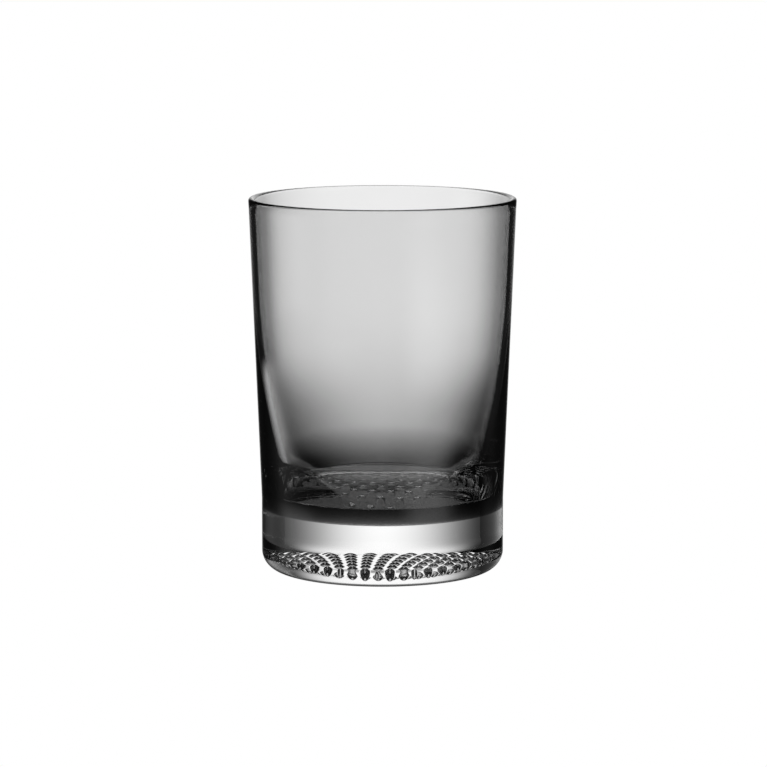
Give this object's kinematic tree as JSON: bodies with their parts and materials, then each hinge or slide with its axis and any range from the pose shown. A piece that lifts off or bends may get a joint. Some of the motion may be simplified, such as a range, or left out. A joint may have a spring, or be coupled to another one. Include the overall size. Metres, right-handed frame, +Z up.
{
  "type": "whiskey tumbler",
  "caption": "Straight-sided drinking tumbler with a smoke-grey bowl, a thin rounded rim and a thick clear glass base with a relief underside.",
  "frame": {"origin": "centre of the foot plane, on the axis of revolution", "axes": "+Z up along the axis of revolution; X and Y are interchangeable on a round glass"},
  "size_m": [0.08, 0.08, 0.112],
  "materials": {
    "smoke_glass": "fire-polished smoke-grey crystal glass, neutral tint through the whole thickness",
    "clear_glass": "clear colourless crystal glass, polished sides, pressed relief on the underside"
  },
  "bodies": {
    "root": {"smoke_bowl": "smoke_glass", "clear_base": "clear_glass"}
  },
  "joints": []
}
